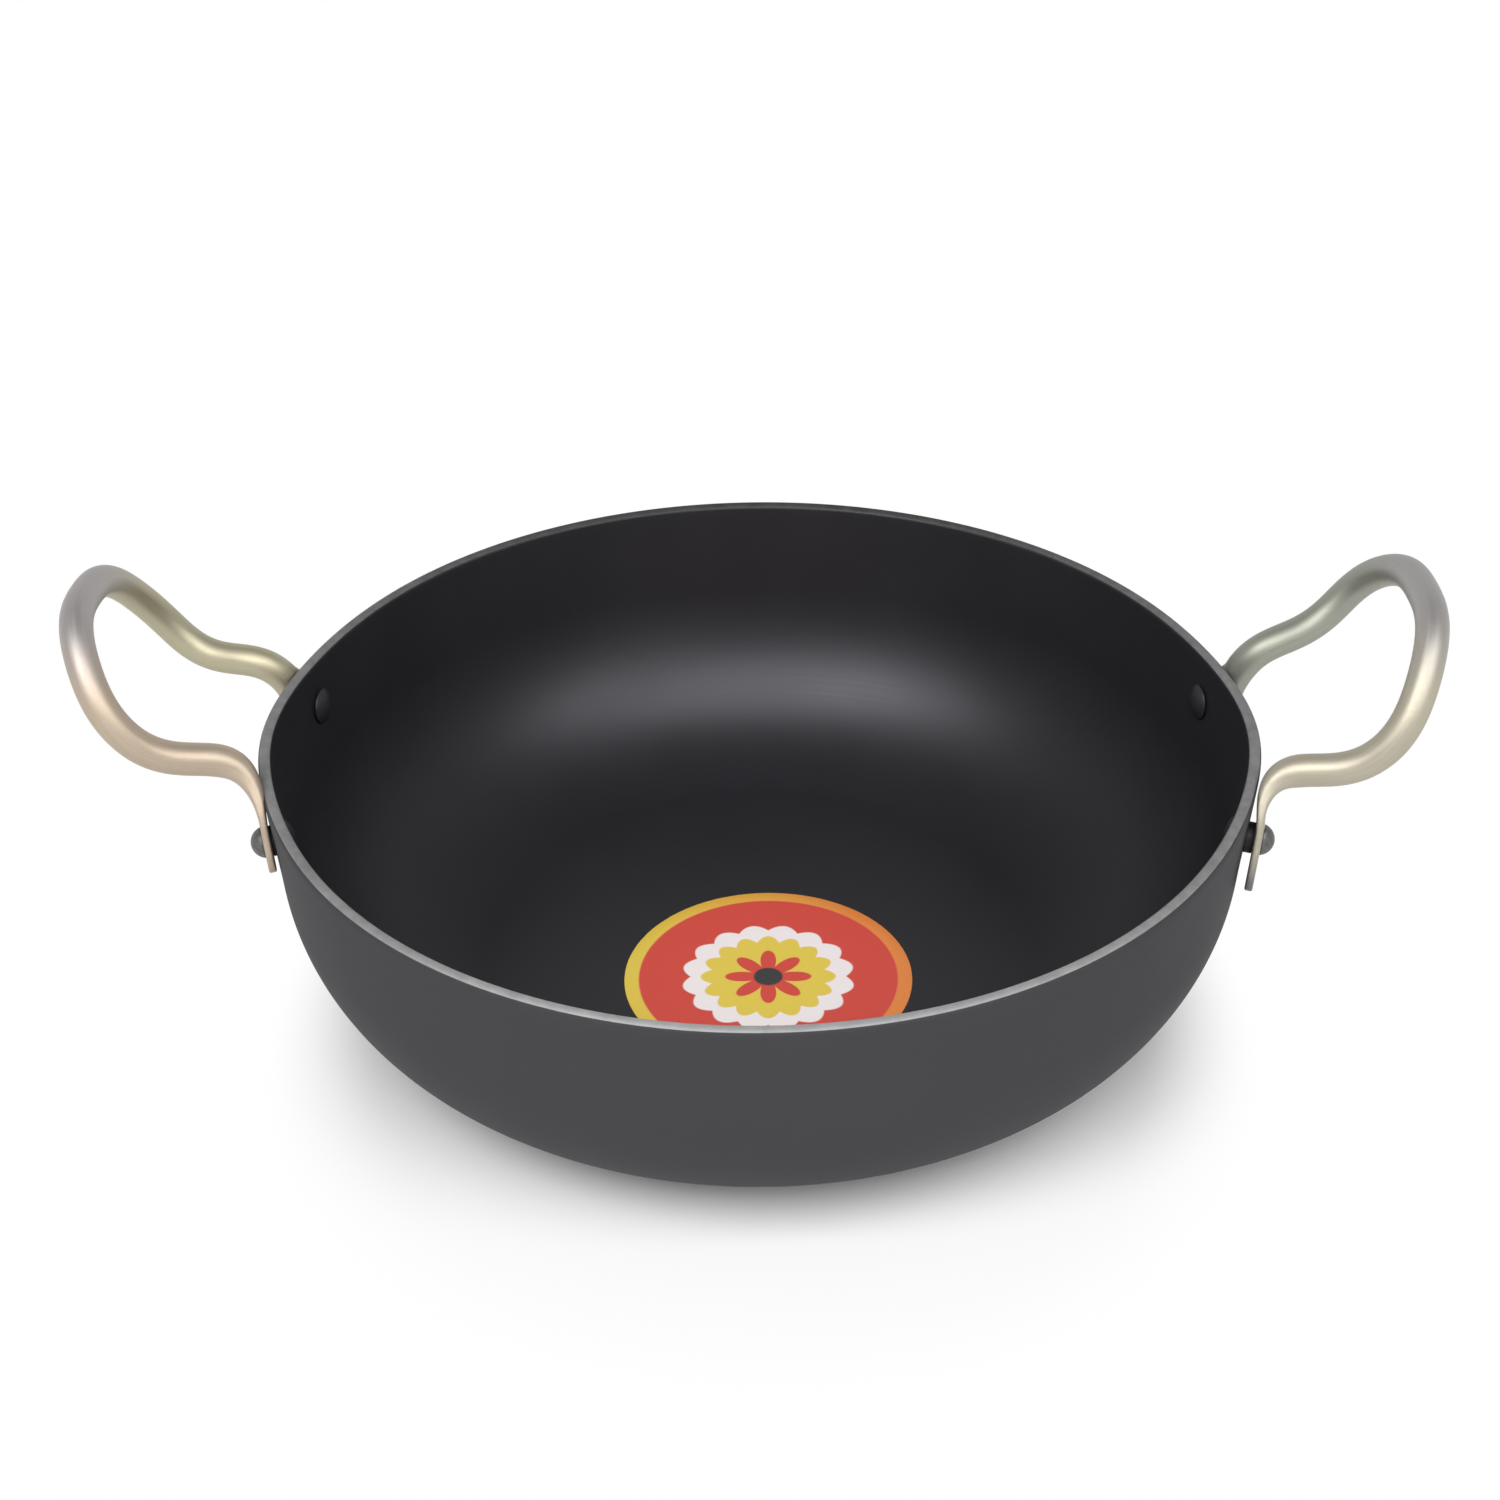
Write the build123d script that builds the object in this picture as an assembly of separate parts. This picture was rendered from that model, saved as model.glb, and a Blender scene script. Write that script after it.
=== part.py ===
from build123d import *
import os
from math import asin, cos, degrees, radians, sin, tan

# A kadai: a round-sided spun bowl with a loop handle of bent rod on each side.
# The origin is the centre of the flat base, +Z is up, and the handles lie along X.
# Lengths are in millimetres and angles in degrees.

# The bowl
rim_radius = 125.0
bowl_height = 73.0
wall = 3.25
side_curve = 50.0  # outside radius of the round side
wall_lean = 4.0  # how far the wall leans out above the round side
rim_ease = 1.4  # rounding of the two edges of the turned rim

# The rivets, two to a handle
rivet_spacing = 64.0
rivet_drop = 12.7  # from the rim down to the rivets
shank = 4.8  # diameter
outer_head = 7.8  # diameter
outer_head_height = 3.0
inner_head = 9.6  # diameter
inner_head_height = 1.9
shank_clearance = 0.1  # all round, between a shank and its holes
seat_gap = 0.1  # between the curved wall and the flat faces on it

# The spacers between the wall and the handle's flattened ends
spacer = 7.8  # diameter
left_spacer_thickness = 0.8
right_spacer_thickness = 2.2

# The handles' rod and its flattened ends
rod = 8.2  # diameter
rod_gap = 0.5  # between the rod and the wall behind it
tab_width = 13.0
tab_thickness = 2.0
tab_splay = 23.0  # how far the ends lean apart going down
tab_rise = 4.5  # flat above the rivet
left_tab_tail = 7.6  # flat below the rivet
right_tab_tail = 13.0
flatten_run = 7.0  # from flat to round
bend_rise = 22.2  # from the rivet to the corner of the highest first bend
bend_radius = 8.0

# The loops, measured from the rim's outer edge and the plane of the rim
left_reach = 41.5
right_reach = 39.8
handle_rise = 38.5
handle_spread = 66.0

# A leg turns at its knee, at its side and at its crown. These are the places of the three
# corners as shares of the reach and of half the spread.
reach_shares = (0.54, 0.8, 1.0)
spread_shares = (0.96, 1.0, 0.55)

# The handles were bent by hand, so no two legs are alike. These are the heights of the three
# corners as shares of the rise, and that of each first bend as a share of the highest one.
rise_shares = {
    "left front": (0.28, 0.62, 1.09),
    "left back": (0.06, 0.42, 0.94),
    "right front": (0.155, 0.48, 1.02),
    "right back": (0.26, 0.65, 0.93),
}
bend_shares = {"left front": 0.98, "left back": 0.86, "right front": 0.82, "right back": 0.98}
corner_share = 0.45  # of the shorter run, which a round corner takes up
bend_share = 0.9  # the same for a first bend, which has its shorter run to itself
tip_share = 0.42  # of a tab's width, which its rounded tip takes up
tab_edge_share = 0.3  # of a tab's thickness, which its rounded edges take up

# The sticker on the floor of the bowl
label_radius = 38.0
label_thickness = 0.2
label_right = 2.0
label_front = 13.5

# How far a cutting tool runs past the face that it leaves
overrun = 1.0

# The wall's curve is centred over the edge of the flat base
lean_sin = sin(radians(wall_lean))
lean_cos = cos(radians(wall_lean))
lean_slope = tan(radians(wall_lean))
curve_top = side_curve - side_curve * lean_sin
base_radius = rim_radius - (bowl_height - curve_top) * lean_slope - side_curve * lean_cos


def wall_at(height):
    """The outer radius of the wall at a height, and how far it leans out there."""
    if height >= curve_top:
        return rim_radius - (bowl_height - height) * lean_slope, wall_lean
    lean = degrees(asin((side_curve - height) / side_curve))
    return base_radius + side_curve * cos(radians(lean)), lean


rivet_height = bowl_height - rivet_drop
rivet_radius, rivet_lean = wall_at(rivet_height)
rivet_angle = degrees(asin(rivet_spacing / 2 / rivet_radius))

# Places along a rivet's axis, counted outwards from the wall's outer face
inner_seat = -wall - seat_gap
spacer_seat = seat_gap
rod_line = rod / 2 + rod_gap
spacer_thickness = {"left": left_spacer_thickness, "right": right_spacer_thickness}
tab_seat = {side: spacer_seat + thickness for side, thickness in spacer_thickness.items()}
head_seat = {side: seat + tab_thickness for side, seat in tab_seat.items()}
tab_tail = {"left": left_tab_tail, "right": right_tab_tail}
handle_reach = {"left": left_reach, "right": right_reach}


def rivet_plane(side, end):
    """Plane on the outer wall at one rivet: Z points outwards, and Y up the wall.

    side is "left" or "right", and end is -1 at the front and 1 at the back.
    """
    way = 1 if side == "right" else -1
    across = Vector(cos(radians(rivet_angle)) * way, sin(radians(rivet_angle)) * end, 0)
    along = Vector(-across.Y, across.X, 0)
    outward = across * cos(radians(rivet_lean)) + Vector(0, 0, -sin(radians(rivet_lean)))
    place = across * rivet_radius + Vector(0, 0, rivet_height)
    return Plane(origin=place, x_dir=along, z_dir=outward)


def dome(radius, height):
    """A rivet head on the XY plane: a cap cut from a ball, bulging along +Z."""
    ball = (radius * radius + height * height) / (2 * height)
    half_angle = asin(radius / ball) / 2
    shoulder = (ball * sin(half_angle), height - ball + ball * cos(half_angle))
    edge = ThreePointArc((radius, 0), shoulder, (0, height))
    outline = edge + Line((0, height), (0, 0)) + Line((0, 0), (radius, 0))
    return revolve(Plane.XZ * make_face(outline), Axis.Z)


def make_bowl():
    """The spun bowl: flat floor, round side and a wall that leans out to a turned rim."""
    inner_curve = side_curve - wall
    centre = (base_radius, side_curve)
    sweep_angle = 90 - wall_lean
    outer_arc = CenterArc(centre, side_curve, -90, sweep_angle)
    inner_arc = CenterArc(centre, inner_curve, -90, sweep_angle)
    rim_inner = (rim_radius - wall / lean_cos, bowl_height)
    rim_outer = (rim_radius, bowl_height)
    outline = Line((0, 0), outer_arc @ 0) + outer_arc + Line(outer_arc @ 1, rim_outer)
    outline += Line(rim_outer, rim_inner) + Line(rim_inner, inner_arc @ 1) + inner_arc
    outline += Line(inner_arc @ 0, (0, wall)) + Line((0, wall), (0, 0))
    bowl = revolve(Plane.XZ * make_face(outline), Axis.Z)
    rim_edges = bowl.edges().filter_by_position(Axis.Z, bowl_height, bowl_height)
    bowl = fillet(rim_edges, rim_ease)
    for side in spacer_thickness:
        for end in (-1, 1):
            bowl -= rivet_hole(side, end)
    return bowl


def rivet_hole(side, end):
    """The tool that drills the wall, a spacer and a tab for one rivet."""
    start = inner_seat - overrun
    length = head_seat[side] + overrun - start
    hole_plane = rivet_plane(side, end).offset(start)
    return extrude(hole_plane * Circle(shank / 2 + shank_clearance), length)


def make_rivet(side, end):
    """A solid rivet: low head inside the bowl, button head outside the handle."""
    plane = rivet_plane(side, end)
    stem = extrude(plane.offset(inner_seat) * Circle(shank / 2), head_seat[side] - inner_seat)
    button = plane.offset(head_seat[side]) * dome(outer_head / 2, outer_head_height)
    low_plane = Plane(origin=plane.offset(inner_seat).origin, x_dir=plane.x_dir, z_dir=-plane.z_dir)
    low = low_plane * dome(inner_head / 2, inner_head_height)
    return stem + button + low


def make_spacer(side, end):
    """A washer that holds the handle's end off the wall."""
    seat = rivet_plane(side, end).offset(spacer_seat)
    return extrude(seat * Circle(spacer / 2), spacer_thickness[side]) - rivet_hole(side, end)


def tab_plane(end):
    """A right-hand rivet's plane, turned so that Y runs up the splayed end of the rod."""
    plane = rivet_plane("right", end)
    outward = Axis((0, 0, 0), plane.z_dir)
    along = plane.x_dir.rotate(outward, end * tab_splay)
    return Plane(plane.origin, x_dir=along, z_dir=plane.z_dir)


def tab_point(end, rise, stand_off):
    """A point on the middle line of a tab, up from the rivet and out from the wall."""
    plane = tab_plane(end)
    return plane.origin + plane.y_dir * rise + plane.z_dir * stand_off


def make_tab(name, end):
    """One flattened end of the rod: a pressed plate with a rounded tip, then a neck back to round."""
    plane = tab_plane(end)
    length = tab_rise + tab_tail[name]
    outline = Pos(0, tab_rise - length / 2) * Rectangle(tab_width, length)
    outline = fillet(outline.vertices().group_by(Axis.Y)[0], tab_width * tip_share)
    plate = extrude(plane.offset(tab_seat[name]) * outline, tab_thickness)
    up = Axis(plane.origin, plane.y_dir)
    outward = Axis(plane.origin, plane.z_dir)
    broad_faces = plate.faces().sort_by(outward)
    pressed_edges = broad_faces[0].edges() + broad_faces[-1].edges()
    pressed_edges -= plate.faces().sort_by(up)[-1].edges()
    plate = fillet(pressed_edges, tab_thickness * tab_edge_share)
    top = plate.faces().sort_by(up)[-1]
    neck_start = tab_point(end, tab_rise + flatten_run, rod_line)
    neck_plane = Plane(origin=neck_start, x_dir=plane.x_dir, z_dir=plane.y_dir)
    return plate + loft([top, neck_plane * Circle(rod / 2)])


def leg_route(name, end):
    """The corners of one leg of a right-hand loop, from the end of its neck to its crown."""
    leg = f"{name} front" if end < 0 else f"{name} back"
    route = [
        tab_point(end, tab_rise + flatten_run, rod_line),
        tab_point(end, bend_rise * bend_shares[leg], rod_line),
    ]
    for reach_share, spread_share, rise_share in zip(reach_shares, spread_shares, rise_shares[leg]):
        out = rim_radius + handle_reach[name] * reach_share
        aside = handle_spread / 2 * spread_share * end
        route.append(Vector(out, aside, bowl_height + handle_rise * rise_share))
    return route


def corner_radius(before, corner, after, share):
    """The radius of a round corner that takes up a share of the shorter of its two runs."""
    first, second = corner - before, after - corner
    half_turn = radians(first.get_angle(second)) / 2
    return min(first.length, second.length) * share / tan(half_turn)


def make_handle(name):
    """A handle as if on the right: rod out over the rim, up and round in a loop, and back."""
    route = leg_route(name, -1) + leg_route(name, 1)[::-1]
    bends = [corner_radius(*route[:3], bend_share), corner_radius(*route[-3:], bend_share)]
    radii = [min(bend_radius, bends[0])]
    for before, corner, after in zip(route[1:-3], route[2:-2], route[3:-1]):
        radii.append(corner_radius(before, corner, after, corner_share))
    radii.append(min(bend_radius, bends[1]))
    path = FilletPolyline(*route, radius=radii)
    bar = sweep(Plane(origin=path @ 0, z_dir=path % 0) * Circle(rod / 2), path=path)
    handle = bar + make_tab(name, -1) + make_tab(name, 1)
    handle = handle - rivet_hole("right", -1) - rivet_hole("right", 1)
    print("loop corner radii", [round(radius, 1) for radius in radii])
    print("rod volume over section times length", bar.volume / (Circle(rod / 2).area * path.length))
    return handle


def make_label():
    """The round sticker on the flat floor, a little to the front of the middle."""
    place = Plane.XY.offset(wall) * Pos(label_right, -label_front)
    return extrude(place * Circle(label_radius), label_thickness)


def build():
    """Every piece by name."""
    pieces = {"bowl": make_bowl(), "label": make_label()}
    pieces["handle_right"] = make_handle("right")
    pieces["handle_left"] = mirror(make_handle("left"), about=Plane.YZ)
    for side in spacer_thickness:
        for end, end_name in ((-1, "front"), (1, "back")):
            pieces[f"rivet_{side}_{end_name}"] = make_rivet(side, end)
            pieces[f"spacer_{side}_{end_name}"] = make_spacer(side, end)
    return pieces


os.makedirs("parts", exist_ok=True)
for name, piece in build().items():
    export_step(piece, f"parts/{name}.step")
    size = piece.bounding_box().size
    print(name, round(piece.volume, 1), [round(length, 2) for length in size])
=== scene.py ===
# %% [markdown]
# # A kadai, dressed for the studio
# A kadai is a round-sided cooking pan. This one is spun from a thick aluminium disc, hard
# anodised dark grey, and its rim is turned bright again at the end. A loop of bent, plated
# steel rod is riveted to each side. This lesson gives the measured solids their looks:
# every solid is replaced by a finer mesh in the same place, and every finish is built
# from nodes.

# %% Load the measured solids
from math import asin, cos, pi, radians, sin, tan

import bpy
from mathutils import Matrix, Quaternion, Vector


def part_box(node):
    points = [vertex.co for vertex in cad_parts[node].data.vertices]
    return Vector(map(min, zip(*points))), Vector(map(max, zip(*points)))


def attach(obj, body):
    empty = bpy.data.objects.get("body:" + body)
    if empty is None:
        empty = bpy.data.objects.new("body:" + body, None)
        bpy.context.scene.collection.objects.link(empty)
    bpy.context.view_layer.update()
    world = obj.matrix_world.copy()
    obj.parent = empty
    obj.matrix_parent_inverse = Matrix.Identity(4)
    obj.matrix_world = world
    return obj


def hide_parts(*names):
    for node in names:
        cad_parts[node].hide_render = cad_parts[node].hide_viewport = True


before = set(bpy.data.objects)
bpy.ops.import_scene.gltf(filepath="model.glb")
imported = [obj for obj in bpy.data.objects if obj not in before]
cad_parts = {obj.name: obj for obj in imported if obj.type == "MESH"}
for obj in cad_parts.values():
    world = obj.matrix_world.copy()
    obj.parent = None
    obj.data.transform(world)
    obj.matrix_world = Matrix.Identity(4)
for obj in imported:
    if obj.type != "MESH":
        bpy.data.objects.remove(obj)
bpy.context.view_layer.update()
scene = bpy.context.scene
print("solids:", sorted(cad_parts))

# %% [markdown]
# ## The camera
# The pan fills a square picture, seen from a little above. A camera is known by what it
# looks at, from how far, how steeply, and through which lens. These four were found by
# laying the pan's outline over the photograph. A small turn and a small roll set the two
# handles as they are seen.

# %% Camera
picture_side = 1500  # pixels
focal_length = 2719.5  # pixels
sensor_width = 36  # millimetres
nearest, farthest = 0.01, 20  # metres
camera_distance = 0.6962
camera_elevation = radians(32.48)
camera_azimuth = radians(0.65)
camera_roll = radians(-0.6)
camera_aim = Vector((-0.00235, 0, 0.0658))

turn = Matrix.Rotation(camera_azimuth, 4, "Z")
tilt = Matrix.Rotation(pi / 2 - camera_elevation, 4, "X")
roll = Matrix.Rotation(camera_roll, 4, "Z")
step_back = Matrix.Translation((0, 0, camera_distance))
camera_data = bpy.data.cameras.new("camera")
camera_data.sensor_width = sensor_width
camera_data.lens = sensor_width * focal_length / picture_side
camera_data.clip_start, camera_data.clip_end = nearest, farthest
camera = bpy.data.objects.new("camera", camera_data)
camera.matrix_world = turn @ Matrix.Translation(camera_aim) @ tilt @ roll @ step_back
scene.collection.objects.link(camera)
scene.camera = camera
scene.view_settings.view_transform = "Standard"
camera_place = [round(x, 3) for x in camera.matrix_world.translation]
print("lens", round(camera_data.lens, 1), "mm, camera at", camera_place)

# %% [markdown]
# ## Building node trees by script
# Everything below is made by two kinds of node trees: geometry nodes grow the shapes, and
# shader nodes paint the finishes. Adding a node by hand takes several lines, so one small
# helper adds a node, sets it and joins it, and another puts it in the tree that its inputs
# come from. The nodes that are used most have a helper of their own. One more makes a
# group with named sockets, which is how one effect or one way of making serves many pieces.


# %% Helpers for node trees
def add_node(tree, kind, inputs=None, **settings):
    """A new node with its settings made, and each input joined to a socket or set to a value."""
    made = tree.nodes.new(kind)
    for setting, value in settings.items():
        setattr(made, setting, value)
    for key, value in (inputs or {}).items():
        if isinstance(value, bpy.types.NodeSocket):
            tree.links.new(value, made.inputs[key])
        else:
            made.inputs[key].default_value = value
    return made


def follow(kind, inputs, **settings):
    """A new node in the tree that the sockets among its inputs belong to."""
    tree = next(value.id_data for value in inputs.values() if isinstance(value, bpy.types.NodeSocket))
    return add_node(tree, kind, inputs, **settings)


def calculate(operation, *values):
    """The result of a Math node on values or sockets."""
    return follow("ShaderNodeMath", dict(enumerate(values)), operation=operation).outputs[0]


def vector_sum(operation, *values):
    """The result of a Vector Math node: a number for a dot product or a length, else a vector."""
    made = follow("ShaderNodeVectorMath", dict(enumerate(values)), operation=operation)
    return made.outputs["Value" if operation in ("DOT_PRODUCT", "LENGTH") else "Vector"]


def scaled(vector, factor):
    """A vector times a number."""
    return follow("ShaderNodeVectorMath", {0: vector, "Scale": factor}, operation="SCALE").outputs[0]


def split(vector):
    """The parts of a vector, under the names X, Y and Z."""
    return follow("ShaderNodeSeparateXYZ", {0: vector}).outputs


def joined(x, y, z=0.0):
    """A vector of three parts."""
    return follow("ShaderNodeCombineXYZ", {0: x, 1: y, 2: z}).outputs[0]


def remap(value, low, high, new_low=0.0, new_high=1.0, ramp="LINEAR"):
    """A value carried from one range to another and held inside it, evenly or by SMOOTHSTEP."""
    ranges = {"Value": value, "From Min": low, "From Max": high, "To Min": new_low, "To Max": new_high}
    return follow("ShaderNodeMapRange", ranges, interpolation_type=ramp).outputs[0]


def new_tree(name, kind, inputs, outputs):
    """A node group whose sockets are named with a value, or a type. Returns it, its entry and its exit."""
    tree = bpy.data.node_groups.new(name, kind)
    for label, given in inputs.items():
        socket_type = given if isinstance(given, str) else type(given).__name__.title()
        socket = tree.interface.new_socket(name=label, in_out="INPUT", socket_type="NodeSocket" + socket_type)
        if socket_type != given:
            socket.default_value = given
    for label, socket_type in outputs.items():
        tree.interface.new_socket(name=label, in_out="OUTPUT", socket_type="NodeSocket" + socket_type)
    return tree, tree.nodes.new("NodeGroupInput").outputs, tree.nodes.new("NodeGroupOutput").inputs


def note(geometry, name, value, data_type="FLOAT"):
    """The geometry with a value written on its points under a name."""
    inputs = {"Geometry": geometry, "Name": name, "Value": value}
    return follow("GeometryNodeStoreNamedAttribute", inputs, data_type=data_type, domain="POINT").outputs[0]


def end_tree(geometry, finish, leave):
    """Ends a geometry tree: smooth faces, real geometry and its finish."""
    smooth = follow("GeometryNodeSetShadeSmooth", {"Geometry": geometry})
    real = follow("GeometryNodeRealizeInstances", {"Geometry": smooth.outputs[0]})
    made = follow("GeometryNodeSetMaterial", {"Geometry": real.outputs[0], "Material": finish})
    geometry.id_data.links.new(made.outputs[0], leave["Geometry"])


def grow(name, data, tree, values):
    """Runs a geometry tree on some data, and gives what it made as a plain mesh object."""
    seed = bpy.data.objects.new(name + "_seed", data)
    scene.collection.objects.link(seed)
    modifier = seed.modifiers.new(tree.name, "NODES")
    modifier.node_group = tree
    for socket in tree.interface.items_tree:
        if socket.item_type == "SOCKET" and socket.in_out == "INPUT" and socket.name in values:
            modifier[socket.identifier] = values[socket.name]
    depsgraph = bpy.context.evaluated_depsgraph_get()
    mesh = bpy.data.meshes.new_from_object(
        seed.evaluated_get(depsgraph), preserve_all_data_layers=True, depsgraph=depsgraph
    )
    bpy.data.objects.remove(seed)
    if mesh.materials[0] is None:
        mesh.materials.pop(index=0)  # the empty slot that a grid or a circle brings along
    piece = bpy.data.objects.new(name, mesh)
    scene.collection.objects.link(piece)
    print(name, len(mesh.polygons), "faces,", [m.name for m in mesh.materials])
    return piece


def line_of_points(name, points, radii=None):
    """A curve object's data that runs straight from point to point."""
    data = bpy.data.curves.new(name, "CURVE")
    data.dimensions = "3D"
    spline = data.splines.new("POLY")
    spline.points.add(len(points) - 1)
    for place, point in enumerate(points):
        spline.points[place].co = (*point, 1)
        spline.points[place].radius = radii[place] if radii else 1
    return data


# %% [markdown]
# ## The floor and the light
# The pan stands on a white sweep in a white tent. Near the pan the floor is plain white
# paint, which keeps the shadow. Away from it, the floor turns to a pure white, but only to
# the camera and in reflections, so the ground of the picture is even and no lamp has to be
# turned up for it. The sky is pure white to the camera too. As a light, it is pale at the
# horizon and dim above, where the lamp hangs at the front. Its pale part reaches higher
# at the back, where the pan's floor mirrors it to the camera.

# %% Floor
floor_size = 6.0
floor_colour = (0.8, 0.795, 0.805, 1)
near_glow = 0.06  # a little of the white shows in the shadow too
shadow_reach, white_from = 0.12, 0.162  # metres from the shadow's middle, between which the white comes in
shadow_middle = (0, -0.03, 0)  # it lies a little to the front
shadow_squeeze = (1.25, 1.08, 1)  # and is deeper than it is wide
floor_mesh = bpy.data.meshes.new("floor")
half = floor_size / 2
corners = [(-half, -half, 0), (half, -half, 0), (half, half, 0), (-half, half, 0)]
floor_mesh.from_pydata(corners, [], [(0, 1, 2, 3)])
floor = bpy.data.objects.new("floor", floor_mesh)
scene.collection.objects.link(floor)

floor_material = bpy.data.materials.new("white_sweep")
floor_material.use_nodes = True
tree = floor_material.node_tree
tree.nodes.clear()
light_path = add_node(tree, "ShaderNodeLightPath").outputs
seen = calculate("MAXIMUM", light_path["Is Camera Ray"], light_path["Is Glossy Ray"])
seen = calculate("MAXIMUM", seen, light_path["Is Transmission Ray"])
ground = add_node(tree, "ShaderNodeTexCoord").outputs["Object"]
ground = vector_sum("SUBTRACT", ground, shadow_middle)
ground = vector_sum("MULTIPLY", ground, shadow_squeeze)
from_shadow = vector_sum("LENGTH", ground)
whitening = remap(from_shadow, shadow_reach, white_from, near_glow, 1.0, "SMOOTHSTEP")
paint = add_node(tree, "ShaderNodeBsdfDiffuse", {"Color": floor_colour})
glow = add_node(tree, "ShaderNodeEmission", {"Strength": 1.0})
glow_share = calculate("MULTIPLY", seen, whitening)
both = follow("ShaderNodeMixShader", {0: glow_share, 1: paint.outputs[0], 2: glow.outputs[0]})
follow("ShaderNodeOutputMaterial", {"Surface": both.outputs[0]})
floor_mesh.materials.append(floor_material)
print("floor", floor_size, "m wide")

# %% Sky
horizon_level = 0.76
zenith_level = 0.096
sky_fade = 0.6  # sine of the height at which the sky is dimmest
back_lift = 0.55  # how much higher the pale part reaches at the back
world = bpy.data.worlds.new("studio")
world.use_nodes = True
scene.world = world
tree = world.node_tree
tree.nodes.clear()
direction = split(add_node(tree, "ShaderNodeTexCoord").outputs["Generated"])
behind = calculate("MULTIPLY", calculate("MAXIMUM", direction["Y"], 0.0), back_lift)
height = calculate("SUBTRACT", direction["Z"], behind)
level = remap(height, 0.0, sky_fade, horizon_level, zenith_level, "SMOOTHSTEP")
camera_ray = add_node(tree, "ShaderNodeLightPath").outputs["Is Camera Ray"]
sky_level = calculate("MAXIMUM", level, camera_ray)
sky = follow("ShaderNodeBackground", {"Color": (1, 1, 1, 1), "Strength": sky_level})
follow("ShaderNodeOutputWorld", {"Surface": sky.outputs[0]})
print("sky from", horizon_level, "at the horizon to", zenith_level, "above")


# %% Lamps
def add_lamp(name, place, width, depth, power):
    """A soft rectangular lamp that points from its place at the pan."""
    data = bpy.data.lights.new(name, "AREA")
    data.shape = "RECTANGLE"
    data.size, data.size_y, data.energy = width, depth, power
    lamp = bpy.data.objects.new(name, data)
    turned = (lamp_aim - Vector(place)).to_track_quat("-Z", "Y").to_matrix().to_4x4()
    lamp.matrix_world = Matrix.Translation(place) @ turned
    scene.collection.objects.link(lamp)
    print(name, "at", place, power, "W")


lamp_aim = Vector((0, 0.02, 0.03))
add_lamp("front_softbox", (0.06, -0.86, 1.2), width=2.9, depth=1.0, power=35.5)
add_lamp("left_softbox", (-0.6, -0.72, 1.1), width=0.5, depth=0.6, power=4)

# %% [markdown]
# ## Sizes
# The measured solids give the bowl's height and the sticker's level. The rest are the sizes
# of the pieces in metres, as a pan of this kind has them.

# %% Sizes of the bowl
bowl_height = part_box("bowl")[1].z
label_low, label_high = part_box("label")
rim_ease = 0.0014  # rounding of the rim's two edges
wall_lean = radians(4.0)
wall = 0.00325
side_curve = 0.05
rim_radius = 0.125
curve_top = side_curve * (1 - sin(wall_lean))
base_radius = rim_radius - (bowl_height - curve_top) * tan(wall_lean) - side_curve * cos(wall_lean)
print("rim", rim_radius, "height", round(bowl_height, 4), "flat base", round(base_radius, 4))


def wall_at(height):
    """The outer radius of the wall at a height, and how far it leans out there."""
    if height >= curve_top:
        return rim_radius - (bowl_height - height) * tan(wall_lean), wall_lean
    lean = asin((side_curve - height) / side_curve)
    return base_radius + side_curve * cos(lean), lean


# %% [markdown]
# ## Shared effects for the finishes
# Metal is never one flat colour. Three effects come back on many pieces, so each is a
# shader group: a grain, which is fine like blasted metal or slow and cloudy by its size, the
# rings that a lathe leaves, and the lengthwise lines of drawn rod. A group puts out only
# values, and each material mixes its own colours with them.

# %% Grain and patches
grain_group, entry, leave = new_tree(
    "fine_grain",
    "ShaderNodeTree",
    {"Vector": "Vector", "Size": 0.0004, "Contrast": 1.0},
    {"Value": "Float"},
)
tree, middle = grain_group, 0.5  # the value that a noise swings about
grain = {"Vector": entry["Vector"], "Scale": calculate("DIVIDE", 1.0, entry["Size"])}
grain = follow("ShaderNodeTexNoise", {**grain, "Detail": 2.0, "Roughness": 0.6}).outputs[0]
spread = calculate("MULTIPLY", calculate("SUBTRACT", grain, middle), entry["Contrast"])
tree.links.new(calculate("ADD", spread, middle), leave["Value"])
print(tree.name, list(entry.keys()))

# %% Lathe rings
rings_group, entry, leave = new_tree(
    "lathe_rings",
    "ShaderNodeTree",
    {
        "Length": 0.0,
        "Vector": "Vector",
        "Pitch": 0.0005,
        "Wander": 0.3,
    },
    {"Value": "Float"},
)
tree = rings_group
drift = follow("ShaderNodeTexNoise", {"Vector": entry["Vector"], "Scale": 9.0, "Detail": 1.0})
drifted = calculate("MULTIPLY", drift.outputs[0], entry["Wander"])
ring_line = calculate("ADD", calculate("DIVIDE", entry["Length"], entry["Pitch"]), drifted)
rings = {"W": ring_line, "Scale": 1.0, "Detail": 3.0}
rings = follow("ShaderNodeTexNoise", rings, noise_dimensions="1D")
tree.links.new(rings.outputs[0], leave["Value"])
print(tree.name, list(entry.keys()))

# %% Drawn lines
drawn_group, entry, leave = new_tree(
    "drawn_lines",
    "ShaderNodeTree",
    {"Rod Space": "Vector", "Fineness": 14.0, "Stretch": 25.0},
    {"Value": "Float"},
)
tree, apart = drawn_group, split(entry["Rod Space"])
scales = (("X", "Fineness"), ("Y", "Fineness"), ("Z", "Stretch"))
stretched = joined(*(calculate("MULTIPLY", apart[part], entry[scale]) for part, scale in scales))
lines = follow("ShaderNodeTexNoise", {"Vector": stretched, "Scale": 1.0, "Detail": 3.0})
tree.links.new(lines.outputs[0], leave["Value"])
print(tree.name, list(entry.keys()))


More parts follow.
